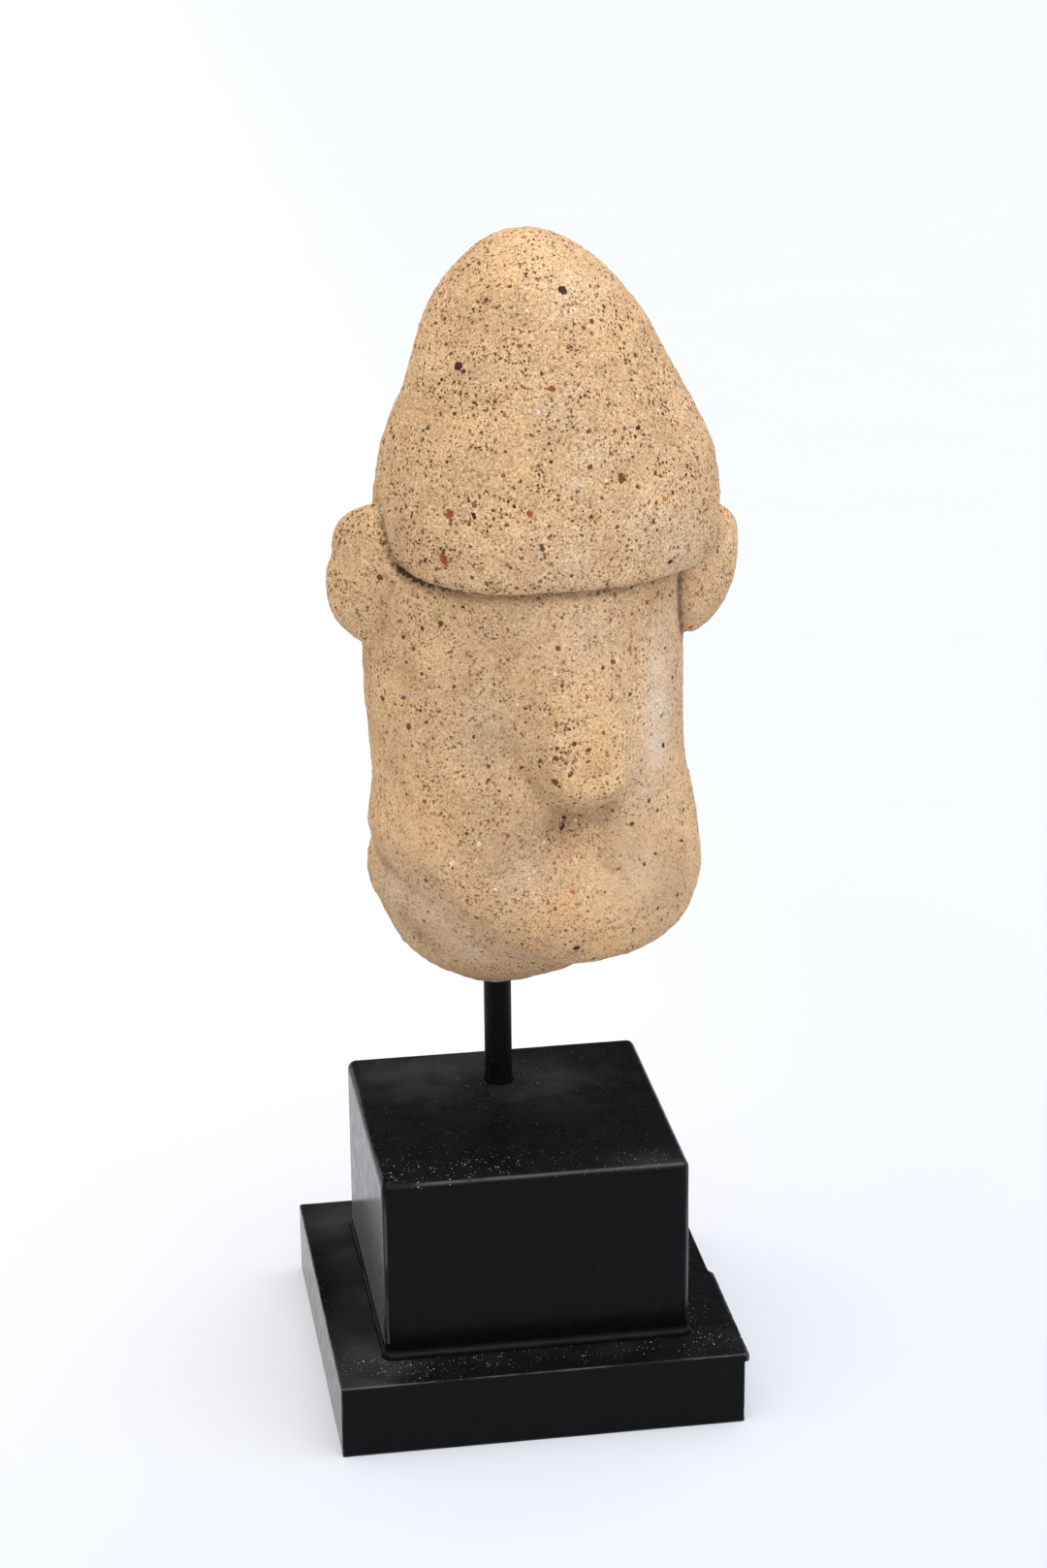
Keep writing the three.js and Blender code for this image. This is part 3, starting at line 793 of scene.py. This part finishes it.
def make_block():
    low = np.array((-BLOCK["width"] / 2, -BLOCK["depth"] / 2, SLAB["height"]))
    high = np.array((BLOCK["width"] / 2, BLOCK["depth"] / 2, SLAB["height"] + BLOCK["height"]))
    fine = [0, 0.5, 1.0, 1.5, 2.0, 2.6]
    foot = low[2] + np.array([0, 0.3, 0.6, 0.9, 1.2, 1.6, 2.2])
    rise = spaced(low[2], high[2], fine, 1.1)
    zs = np.concatenate([foot, rise[rise > foot[-1] + 0.3]])
    points, faces = box_skin(spaced(low[0], high[0], fine, 1.1), spaced(low[1], high[1], fine, 1.1), zs)
    rest = points.copy()
    points = round_edges(points, low, high, BLOCK["edge"])
    # A bead of paint has run along the foot.
    up = (rest[:, 2] - low[2]) / 1.3
    sideways = points - np.array((0, 0, 1)) * points[:, 2:3]
    core = np.clip(points, low + 1.5, high - 1.5)
    away = (points - core) * (1, 1, 0)
    away = away / np.maximum(np.linalg.norm(away, axis=1, keepdims=True), 1e-9)
    bead = np.where(up < 1, 0.8 * np.sqrt(np.clip(1 - up**2, 0, 1)), 0) * (1 + 0.35 * wavy(sideways, 7, 81))
    edge_face = (np.abs(rest[:, :2]) > np.array((BLOCK["width"], BLOCK["depth"])) / 2 - 1e-6).any(1)
    points = points + away * (bead * edge_face)[:, None]
    piece = mesh_piece("painted_block", points, faces)
    points = weathered(piece, points, rest, low, high, 83, 0.035, 6, 0.6, 0.25, 1.3, 1.5)
    points[:, 2] = np.maximum(points[:, 2], low[2])
    move_points(piece, points)
    top = SLAB["height"] + BLOCK["height"]
    drill(piece, ROD["radius"] + ROD["clearance"], top - ROD["in_block"], top + 20)
    points = points_of(piece)
    x, y, z = points.T
    piece.data.set_sharp_from_angle(angle=math.radians(50))
    keep(piece, "edge", edge_nearness(points, low, high, 3) * (z > low[2] + 3))
    at_rod = np.linalg.norm(points[:, :2] - (ROD["x"], ROD["y"]), axis=1)
    front = bump(y, low[1] + 3, 8) * bump(x, low[0] + 14, 18)
    corner = bump(y, low[1] + 3, 4) * bump(x, high[0] - 9, 7)
    on_top = z > high[2] - 1.2
    keep(piece, "dust", on_top * (0.14 + 2.0 * front + 0.9 * corner + 0.3 * bump(at_rod, 6, 9)))
    # The top is paler in places: partly a haze of dust, partly a painted sheen.
    behind = bump(x, low[0] + 18, 18) * bump(y, high[1] - 10, 15)
    beside = bump(np.hypot(x - 8, y - 12), 0, 11)
    keep(piece, "haze_and_sheen", on_top * (0.1 + 0.8 * behind + 0.75 * beside + 0.5 * corner))
    return piece


def make_slab():
    low = np.array((-SLAB["width"] / 2, -SLAB["depth"] / 2, 0.0))
    high = np.array((SLAB["width"] / 2 - LIP["overhang"], SLAB["depth"] / 2, SLAB["height"]))
    fine = [0, 0.17, 0.34, 0.5, 0.9]
    sheet = high[2] - LIP["thickness"]
    through_sheet = sheet + np.array([0.18, 0.6, 1.1, 1.5, 1.67, 1.84, 2.0])
    zs = np.concatenate([spaced(0, sheet, [0, 0.5], 1.4), through_sheet])
    points, faces = box_skin(spaced(low[0], high[0], fine, 1.3), spaced(low[1], high[1], fine, 1.1), zs)
    rest = points.copy()
    points = round_edges(points, low, high, SLAB["edge"])
    # The top sheet stands proud of the right side, and is broken away towards the back.
    ragged = LIP["back"] + 1.6 * wavy(points * (0, 1, 0), 5, 91)
    kept = 1 - smoothstep(points[:, 1], ragged - 0.6, ragged + 0.8)
    torn = 1 - 0.25 * np.abs(wavy(points * (0, 1, 0), 3, 93))
    on_sheet = (rest[:, 2] > sheet + 0.1) & (rest[:, 0] > high[0] - 0.6)
    points[:, 0] += np.where(on_sheet, LIP["overhang"] * kept * torn, 0)
    piece = mesh_piece("painted_slab", points, faces)
    points = weathered(piece, points, rest, low, high, 95, 0.04, 7, 0.65, 0.22, 1.2, 1.2)
    points[:, 0] = np.minimum(points[:, 0], SLAB["width"] / 2)
    move_points(piece, points)
    keep(piece, "edge", edge_nearness(points, low, high, 1.1))
    x, y, z = points.T
    beyond = np.maximum(np.abs(x), np.abs(y)) - BLOCK["width"] / 2
    on_top = z > high[2] - 0.4
    left = bump(x, -38, 8)
    glossy = bump(x, -46, 8) * bump(y, 2, 24)
    strip = bump(y, -38, 3.5)
    corner = bump(x, -30, 14) * bump(y, -38, 5)
    dust = 0.12 + 0.5 * bump(beyond, 2, 4) + 0.7 * strip + 1.2 * corner
    keep(piece, "dust", on_top * dust * (1 - 0.8 * left * (y > -28)))
    # The top is paler in places: partly a haze of dust, partly a painted sheen.
    keep(piece, "haze_and_sheen", on_top * (0.1 + 0.8 * left + 0.15 * strip) * (1 - glossy))
    return piece


# Materials

def srgb(red, green, blue):
    def linear(v):
        v = v / 255
        return v / 12.92 if v <= 0.04045 else ((v + 0.055) / 1.055) ** 2.4

    return (linear(red), linear(green), linear(blue), 1)


class Nodes:
    """A material's nodes, made with their inputs in one call."""

    def __init__(self, tree):
        self.tree = tree

    def add(self, kind, inputs=None, **settings):
        made = self.tree.nodes.new(kind)
        for key, value in settings.items():
            setattr(made, key, value)
        self.feed(made, inputs or {})
        return made

    def feed(self, node, inputs):
        """Sets a node's inputs, each to a value or from another node's output."""
        for key, value in inputs.items():
            if isinstance(value, bpy.types.NodeSocket):
                self.tree.links.new(value, node.inputs[key])
            else:
                node.inputs[key].default_value = value

    def math(self, operation, one, other=0.0, third=0.0, clamp=False):
        inputs = {0: one, 1: other, 2: third}
        return self.add("ShaderNodeMath", inputs, operation=operation, use_clamp=clamp).outputs[0]

    def times(self, one, other, clamp=False):
        return self.math("MULTIPLY", one, other, clamp=clamp)

    def step(self, value, low, high, start=0.0, end=1.0, smooth=True):
        inputs = {"Value": value, "From Min": low, "From Max": high, "To Min": start, "To Max": end}
        kind = "SMOOTHSTEP" if smooth else "LINEAR"
        return self.add("ShaderNodeMapRange", inputs, interpolation_type=kind, clamp=True).outputs[0]

    def mix(self, share, one, other, blend="MIX"):
        inputs = {0: share, 6: one, 7: other}
        return self.add("ShaderNodeMix", inputs, data_type="RGBA", blend_type=blend).outputs[2]

    def over(self, colour, mask, share, tint):
        """The colour with a tint laid over it where the mask is, up to that share."""
        return self.mix(self.times(mask, share), colour, tint)

    def noise(self, vector, per_mm, detail=2.0, roughness=0.5, what="Fac"):
        inputs = {"Vector": vector, "Scale": per_mm, "Detail": detail, "Roughness": roughness}
        return self.add("ShaderNodeTexNoise", inputs).outputs[what]

    def specks(self, vector, apart, small, large, skip=0.0):
        """Round specks scattered that far apart: where they are, and a random number for each."""
        cells = self.add("ShaderNodeTexVoronoi", {"Vector": vector, "Scale": 1 / apart})
        parts = self.add("ShaderNodeSeparateColor", {"Color": cells.outputs["Color"]})
        size = self.step(parts.outputs[0], skip, 1, small, large, smooth=False)
        if skip:
            size = self.times(size, self.math("GREATER_THAN", parts.outputs[0], skip))
        near = self.math("SUBTRACT", size, self.times(cells.outputs["Distance"], apart))
        return self.step(near, -0.25 * small, 0.25 * small), parts.outputs[1]

    def ramp(self, value, stops, constant=True):
        made = self.add("ShaderNodeValToRGB", {"Fac": value})
        ramp = made.color_ramp
        ramp.interpolation = "CONSTANT" if constant else "LINEAR"
        while len(ramp.elements) < len(stops):
            ramp.elements.new(0.5)
        for element, (place, colour) in zip(ramp.elements, stops):
            element.position = place
            element.color = colour
        return made.outputs[0]

    def number(self, name):
        return self.add("ShaderNodeAttribute", attribute_name=name).outputs["Fac"]

    def in_mm(self):
        """The place on the object in millimetres."""
        place = self.add("ShaderNodeTexCoord").outputs["Object"]
        return self.add("ShaderNodeVectorMath", {0: place, "Scale": 1 / MM}, operation="SCALE").outputs[0]

    def warped(self, vector, per_mm, amount):
        """The vector moved about by noise that is read at itself."""
        return self.shifted(vector, vector, per_mm, amount)

    def shifted(self, vector, place, per_mm, amount):
        """The vector moved about by noise that is read at a place."""
        noise = {0: self.noise(place, per_mm, 1, what="Color"), 1: (0.5,) * 3}
        shift = self.add("ShaderNodeVectorMath", noise, operation="SUBTRACT").outputs[0]
        inputs = {0: shift, 1: (amount,) * 3, 2: vector}
        return self.add("ShaderNodeVectorMath", inputs, operation="MULTIPLY_ADD").outputs[0]

    def relief(self, shader, height):
        """Gives the shader a bump of that height in millimetres."""
        made = self.add("ShaderNodeBump", {"Strength": 1.0, "Distance": MM, "Height": height})
        self.feed(shader, {"Normal": made.outputs[0]})


def new_material(name):
    material = bpy.data.materials.new(name)
    material.use_nodes = True
    nodes = Nodes(material.node_tree)
    shader = material.node_tree.nodes["Principled BSDF"]
    return material, nodes, shader


# The tints that the patches lay on the clay; the stain tint is partly real stains and partly painted shade.
PATCH_TINTS = [
    ("warm", 0.8, srgb(222, 172, 116)),
    ("pale", 0.85, srgb(222, 201, 176)),
    ("stain_and_shade", 0.6, srgb(146, 120, 96)),
    ("rust", 0.6, srgb(162, 112, 78)),
]
GRAIN_COLOURS = [
    (0.0, srgb(70, 44, 42)),
    (1 / 6, srgb(116, 74, 48)),
    (2 / 6, srgb(160, 86, 48)),
    (3 / 6, srgb(192, 122, 62)),
    (4 / 6, srgb(92, 84, 80)),
    (5 / 6, srgb(232, 222, 208)),
]
GRAIN_TONES = [(0.35, (0.5, 0.5, 0.5, 1)), (0.65, (1.2, 1.2, 1.2, 1))]
PINHOLE_COLOURS = [
    (0.0, srgb(82, 46, 28)),
    (0.35, srgb(122, 70, 40)),
    (0.7, srgb(58, 34, 24)),
    (0.93, srgb(232, 216, 192)),
]
SPECK_COLOURS = [
    (0.0, srgb(98, 56, 34)),
    (0.3, srgb(64, 40, 30)),
    (0.5, srgb(140, 82, 46)),
    (0.68, srgb(178, 96, 50)),
    (0.82, srgb(96, 80, 70)),
    (0.92, srgb(234, 220, 200)),
]
PAINT_GLOSS = 0.09
DUST_COLOURS = [(0, srgb(150, 142, 128)), (0.4, srgb(196, 190, 178)), (0.75, srgb(176, 150, 112))]


def terracotta():
    material, n, shader = new_material("terracotta")
    place = n.in_mm()
    bent = n.warped(place, 1.1, 0.5)

    # The body's colour: buff clay, warmer and greyer in clouds, with sand in it.
    clouds = n.noise(place, 1 / 22, 3, 0.55)
    colour = n.mix(n.step(clouds, 0.35, 0.68), srgb(206, 169, 128), srgb(220, 182, 138))
    greyed = n.step(n.noise(place, 1 / 9, 3, 0.6), 0.5, 0.72)
    colour = n.over(colour, greyed, 0.4, srgb(185, 151, 115))
    blotches = n.step(n.noise(place, 1 / 3.2, 3, 0.65), 0.52, 0.7)
    colour = n.over(colour, blotches, 0.34, srgb(168, 134, 100))
    rubbed = n.step(n.noise(n.warped(place, 0.2, 3), 1 / 4, 2, 0.6), 0.6, 0.72)
    colour = n.over(colour, rubbed, 0.4, srgb(229, 203, 168))
    for name, share, tint in PATCH_TINTS:
        colour = n.over(colour, n.number(name), share, tint)
    reddish = n.step(n.noise(place, 1 / 4.5, 3, 0.6), 0.56, 0.7)
    colour = n.over(colour, reddish, 0.28, srgb(192, 136, 96))
    # The clay is darker in the hollows.
    darker_in_hollows = n.step(n.number("hollow"), 0.02, 0.9)
    colour = n.over(colour, darker_in_hollows, 0.42, srgb(150, 118, 86))
    colour = n.over(colour, n.number("jaw"), 0.2, srgb(176, 148, 118))
    sand = n.noise(place, 2.1, 3, 0.7)
    sand_tones = [(0.34, (0.62, 0.58, 0.52, 1)), (0.48, (1.0, 1.0, 1.0, 1)), (0.64, (1.42, 1.44, 1.44, 1))]
    calm = n.times(n.number("face"), 0.2)
    calm = n.math("MULTIPLY_ADD", n.number("calm"), 0.6, calm, clamp=True)
    lively = n.math("SUBTRACT", 1.0, calm)
    colour = n.mix(lively, colour, n.ramp(sand, sand_tones, constant=False), "MULTIPLY")

    # Specks of sand and grog, finest first.
    crowd = n.step(n.noise(place, 1 / 7, 2, 0.6), 0.36, 0.6, 0.3, 1.0)
    crowd = n.times(crowd, n.math("SUBTRACT", 1.0, n.times(n.number("pale"), 0.8)))
    crowd = n.times(crowd, lively)
    pepper, pepper_mark = n.specks(bent, 0.7, 0.07, 0.26, skip=0.2)
    shown = n.times(pepper, n.times(crowd, 0.95))
    colour = n.mix(shown, colour, n.ramp(pepper_mark, SPECK_COLOURS))
    pinholes, pinhole_mark = n.specks(n.warped(place, 1.7, 0.8), 1.0, 0.1, 0.43, skip=0.15)
    pinholes = n.times(pinholes, crowd)
    colour = n.over(colour, pinholes, 0.95, n.ramp(pinhole_mark, PINHOLE_COLOURS))
    small, small_mark = n.specks(bent, 1.6, 0.12, 0.4, skip=0.25)
    small = n.times(small, lively)
    colour = n.over(colour, small, 0.9, n.ramp(small_mark, SPECK_COLOURS))
    middling, middling_mark = n.specks(bent, 3.4, 0.2, 0.6, skip=0.2)
    colour = n.over(colour, middling, 0.9, n.ramp(middling_mark, SPECK_COLOURS))

    # The large grains, each at its own place on the clay.
    from_grain = n.add("ShaderNodeAttribute", attribute_name="grain_place").outputs["Vector"]
    from_grain = n.shifted(from_grain, place, 1.3, 1.1)
    distance = n.add("ShaderNodeVectorMath", {0: from_grain}, operation="LENGTH").outputs["Value"]
    grain = n.step(n.math("SUBTRACT", n.number("grain_size"), distance), 0.06, 0.18)
    grain_colour = n.ramp(n.number("grain_kind"), GRAIN_COLOURS)
    mottling = n.ramp(n.noise(place, 3, 2), GRAIN_TONES, constant=False)
    colour = n.mix(grain, colour, n.mix(0.5, grain_colour, mottling, "MULTIPLY"))

    # Shadow and dirt in the crevices between the forms.
    ragged = n.math("MULTIPLY_ADD", n.math("SUBTRACT", n.noise(place, 0.9, 2), 0.5), 1.6, n.number("seam"))
    deep = n.times(n.step(ragged, 0.85, 0.3, 0.0, 1.0), n.number("seam_depth"), clamp=True)
    shaded = n.times(n.step(ragged, 3.4, 0.6, 0.0, 0.3), n.number("seam_depth"), clamp=True)
    colour = n.mix(shaded, colour, srgb(140, 108, 78))
    colour = n.mix(deep, colour, srgb(66, 46, 32))

    height = n.times(n.noise(place, 1.7, 3, 0.65), 0.5)
    height = n.math("ADD", height, n.times(n.noise(place, 4.0, 2), 0.16))
    for sunken, depth in ((small, 0.1), (pepper, 0.05), (pinholes, 0.2)):
        height = n.math("SUBTRACT", height, n.times(sunken, depth))
    n.relief(shader, height)
    rough = n.step(sand, 0.3, 0.7, 0.97, 0.86, smooth=False)
    n.feed(shader, {"Base Color": colour, "Roughness": rough, "Specular IOR Level": 0.25})
    return material


def black_paint():
    material, n, shader = new_material("black_paint")
    place = n.in_mm()
    colour = n.mix(n.step(n.noise(place, 1 / 5, 3, 0.6), 0.3, 0.7), srgb(6, 7, 8), srgb(9, 10, 12))

    # Dust lies in a thin haze, with specks in it. The pale haze is partly dust and partly a painted sheen.
    cloudy = n.step(n.noise(place, 1 / 10, 1.5, 0.4), 0.25, 0.75, 0.35, 1.0)
    dust = n.number("dust")
    veil = n.times(n.number("haze_and_sheen"), cloudy, clamp=True)
    haze_and_sheen = n.times(veil, 0.16)
    colour = n.mix(haze_and_sheen, colour, srgb(122, 123, 126))
    lint, lint_mark = n.specks(n.warped(place, 1.5, 0.4), 0.6, 0.04, 0.17, skip=0.54)
    patchy = n.step(n.noise(place, 1 / 3, 3), 0.36, 0.62)
    shown = n.times(lint, n.times(n.math("ADD", dust, 0.02), patchy), clamp=True)
    colour = n.mix(shown, colour, n.ramp(lint_mark, DUST_COLOURS))

    # The paint is rubbed thin along the edges, and a painted highlight runs along them as well.
    in_places = n.step(n.noise(place, 0.07, 3, 0.6), 0.36, 0.6)
    worn_and_highlit = n.times(n.step(n.number("edge"), 0.72, 0.92), in_places)
    colour = n.over(colour, worn_and_highlit, 0.5, srgb(100, 100, 102))
    rough = n.step(n.noise(place, 0.3, 2, 0.5), 0.3, 0.7, 0.18, 0.27, smooth=False)
    rough = n.math("ADD", rough, n.times(veil, 0.32), clamp=True)
    height = n.times(n.noise(place, 0.9, 3, 0.55), n.math("MULTIPLY_ADD", veil, -0.008, 0.01))
    n.relief(shader, n.math("ADD", height, n.times(shown, 0.06)))
    n.feed(shader, {"Base Color": colour, "Roughness": rough, "Specular IOR Level": PAINT_GLOSS})
    n.feed(shader, {"Sheen Weight": 0.5, "Sheen Roughness": 0.12})
    return material


def black_steel():
    material, n, shader = new_material("black_steel")
    place = n.in_mm()
    lengthwise = n.add("ShaderNodeMapping", {"Vector": place, "Scale": (1.0, 1.0, 0.12)}).outputs[0]
    drawn = n.noise(lengthwise, 1.6, 3, 0.6)
    colour = n.mix(n.step(drawn, 0.3, 0.7), srgb(8, 8, 9), srgb(14, 14, 15))
    lint, lint_mark = n.specks(place, 1.1, 0.03, 0.14, skip=0.7)
    lint_colour = n.ramp(lint_mark, [(0, srgb(120, 112, 100)), (0.5, srgb(160, 140, 112))])
    colour = n.over(colour, lint, 0.6, lint_colour)
    n.relief(shader, n.times(drawn, 0.02))
    rough = n.step(drawn, 0.3, 0.7, 0.42, 0.56, smooth=False)
    n.feed(shader, {"Base Color": colour, "Roughness": rough, "Specular IOR Level": PAINT_GLOSS})
    return material


def floor_material():
    material, n, shader = new_material("floor")
    place = n.in_mm()
    colour = n.mix(n.noise(place, 1 / 60, 2), srgb(181, 183, 187), srgb(184, 186, 190))
    parts = n.add("ShaderNodeSeparateXYZ", {0: place})
    # Painted shade: the floor is darker towards the front and towards the right.
    colour = n.mix(n.step(parts.outputs[1], 40, -160), colour, srgb(172, 176, 182))
    colour = n.mix(n.step(parts.outputs[0], 30, 140, 0.0, 0.6), colour, srgb(172, 175, 180))
    # The floor glows with its own colour: painted light that lifts the shadows on it and lights the base from
    # below.
    n.feed(shader, {"Base Color": colour, "Emission Color": colour, "Emission Strength": 0.53})
    n.feed(shader, {"Roughness": 0.7, "Specular IOR Level": 0.1})
    return material


def dress(piece, material):
    piece.data.materials.clear()
    piece.data.materials.append(material)


# Floor and light

def make_floor():
    """A disc just below the slab, wide enough to fill the picture."""
    radius, drop, sides = 8, 0.0001, 64
    mesh = bpy.data.meshes.new("floor")
    turns = [i / sides * math.tau for i in range(sides)]
    ring = [(radius * math.cos(turn), radius * math.sin(turn), -drop) for turn in turns]
    mesh.from_pydata(ring, [], [tuple(range(sides))])
    floor = bpy.data.objects.new("floor", mesh)
    bpy.context.scene.collection.objects.link(floor)
    dress(floor, floor_material())


def make_light():
    """A soft studio: a broad light overhead and a little to the right, in a dimmer pale room."""
    world = bpy.data.worlds.new("studio")
    bpy.context.scene.world = world
    world.use_nodes = True
    n = Nodes(world.node_tree)
    background = world.node_tree.nodes["Background"]
    way = n.add("ShaderNodeTexCoord").outputs["Generated"]
    key = Vector((0.08, -0.14, 0.97)).normalized()
    toward = n.add("ShaderNodeVectorMath", {0: way, 1: key}, operation="DOT_PRODUCT").outputs["Value"]
    lamp = n.step(toward, math.cos(math.radians(68)), math.cos(math.radians(34)))
    parts = n.add("ShaderNodeSeparateXYZ", {0: way})
    room = n.step(parts.outputs[1], 0.35, 0.9, 0.62, 0.06)
    strength = n.math("MULTIPLY_ADD", lamp, 1.9, room)
    sees = n.add("ShaderNodeLightPath").outputs["Is Camera Ray"]
    strength = n.math("MULTIPLY_ADD", n.math("SUBTRACT", 1.0, strength), sees, strength)
    # The light from the left is a little warmer than the light from the right.
    tint = n.mix(n.step(parts.outputs[0], -0.8, 0.8), (1.0, 0.95, 0.88, 1), (0.94, 0.98, 1.05, 1))
    tint = n.mix(sees, tint, srgb(248, 251, 255))
    n.feed(background, {"Strength": strength, "Color": tint})


def main():
    scene = bpy.context.scene
    scene.view_settings.view_transform = "Standard"
    make_camera()
    make_light()
    make_floor()

    head = head_forms()
    finish_head(head)
    dress(head, terracotta())
    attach(head, "root")
    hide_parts("terracotta_head")

    paint = black_paint()
    for piece, node in ((make_block(), "base_block"), (make_slab(), "base_slab")):
        dress(piece, paint)
        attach(piece, "root")
        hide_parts(node)

    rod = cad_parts["mount_rod"]
    rod.material_slots[0].material = black_steel()


main()
